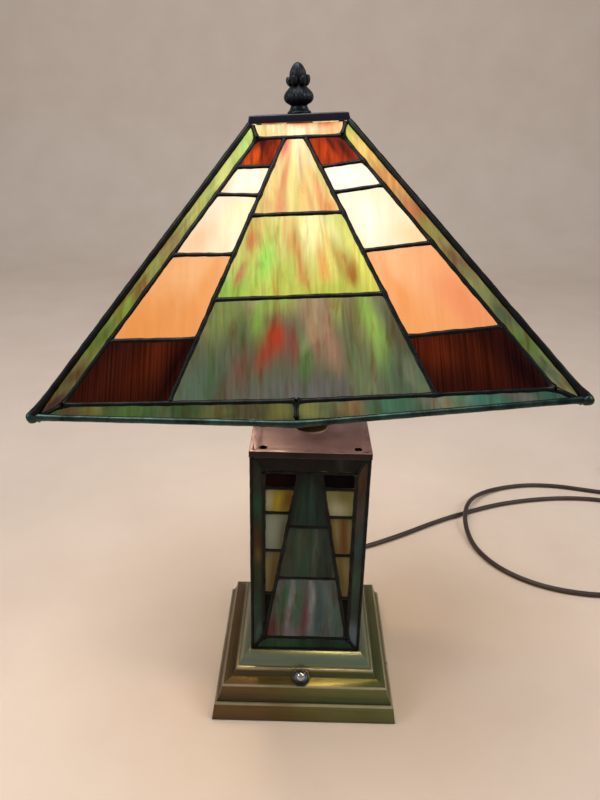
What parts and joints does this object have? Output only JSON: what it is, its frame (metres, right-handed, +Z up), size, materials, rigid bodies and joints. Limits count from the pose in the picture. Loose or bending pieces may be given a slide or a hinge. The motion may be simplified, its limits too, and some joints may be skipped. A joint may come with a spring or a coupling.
{
  "type": "table lamp",
  "caption": "Stained glass table lamp: stepped square brass plinth, leaded glass tower, pyramid leaded glass shade with cap and finial, supply cord.",
  "frame": {"origin": "centre of the underside of the plinth", "axes": "+Z up, front with the switch faces -Y"},
  "size_m": [0.7058, 0.545, 0.5036],
  "materials": {
    "solder": "dark patinated solder, satin",
    "art_glass": "streaky opalescent glass",
    "bulb_glass": "frosted",
    "brass": "satin",
    "antique_brass": "antique satin brass",
    "chrome": "polished",
    "black_plastic": "matt",
    "felt": "felt",
    "bronze_plate": "bronze painted, satin",
    "dark_bronze": "dark bronze, satin",
    "cord_jacket": "dark brown, satin",
    "steel": "zinc plated"
  },
  "bodies": {
    "base": {"cord": "cord_jacket", "cord_coil": "cord_jacket", "cord_strain_relief": "black_plastic", "felt_pad": "felt", "main_rod": "steel", "neck_foot_ring": "dark_bronze", "neck_tube": "brass", "night_light_socket": "brass", "plinth_bottom_plate": "steel", "plinth_casting": "antique_brass", "plug_blades": "brass", "plug_body": "black_plastic", "rod_lock_nuts": "steel", "shade_seat_nut": "steel", "socket_cluster": "brass", "socket_front": "brass", "socket_rear": "brass", "switch_body": "black_plastic", "switch_bushing": "chrome", "switch_nut": "chrome", "tower_came_back": "solder", "tower_came_front": "solder", "tower_came_left": "solder", "tower_came_right": "solder", "tower_corner_beads": "solder", "tower_glass_back": "art_glass", "tower_glass_front": "art_glass", "tower_glass_left": "art_glass", "tower_glass_right": "art_glass", "tower_top_plate": "bronze_plate"},
    "shade": {"shade_border_glass_back": "art_glass", "shade_border_glass_front": "art_glass", "shade_border_glass_left": "art_glass", "shade_border_glass_right": "art_glass", "shade_came_back": "solder", "shade_came_front": "solder", "shade_came_left": "solder", "shade_came_right": "solder", "shade_centre_glass_back": "art_glass", "shade_centre_glass_front": "art_glass", "shade_centre_glass_left": "art_glass", "shade_centre_glass_right": "art_glass", "shade_corner_solder": "solder", "shade_hip_beads": "solder", "shade_rim": "solder", "shade_spider": "steel", "shade_wing_glass_back": "art_glass", "shade_wing_glass_front": "art_glass", "shade_wing_glass_left": "art_glass", "shade_wing_glass_right": "art_glass"},
    "vent_cap": {"vent_cap": "dark_bronze"},
    "finial": {"finial": "dark_bronze"},
    "bulb_front": {"bulb_front": "bulb_glass"},
    "bulb_rear": {"bulb_rear": "bulb_glass"},
    "night_light_bulb": {"night_light_bulb": "bulb_glass"},
    "switch_button": {"switch_button": "chrome"}
  },
  "joints": [
    {"name": "switch_press", "type": "slide", "parent": "base", "child": "switch_button", "axis": [0, 0.5671, -0.8236], "range_m": [0, 0.003], "stiffness_N_per_m": 400, "springref_m": -0.0005},
    {"name": "shade_lift", "type": "slide", "parent": "base", "child": "shade", "axis": [-0.0593, 0, 0.9982], "range_m": [0, 0.2]},
    {"name": "cap_lift", "type": "slide", "parent": "shade", "child": "vent_cap", "axis": [-0.0593, 0, 0.9982], "range_m": [0, 0.05]},
    {"name": "finial_turn", "type": "hinge", "parent": "vent_cap", "child": "finial", "pos_m": [-0.01483, 0, 0.48796], "axis": [-0.0593, 0, 0.9982], "range_deg": [0, 1800]},
    {"name": "bulb_front_turn", "type": "hinge", "parent": "base", "child": "bulb_front", "pos_m": [-0.00676, 0, 0.3522], "axis": [0.7005, -0.702, 0.1289], "range_deg": [0, 1080]},
    {"name": "bulb_rear_turn", "type": "hinge", "parent": "base", "child": "bulb_rear", "pos_m": [-0.00676, 0, 0.3522], "axis": [-0.7108, 0.7019, 0.0451], "range_deg": [0, 1080]},
    {"name": "night_light_turn", "type": "hinge", "parent": "base", "child": "night_light_bulb", "pos_m": [0.02, 0, 0.13], "axis": [0, 0, 1], "range_deg": [0, 1080]}
  ]
}
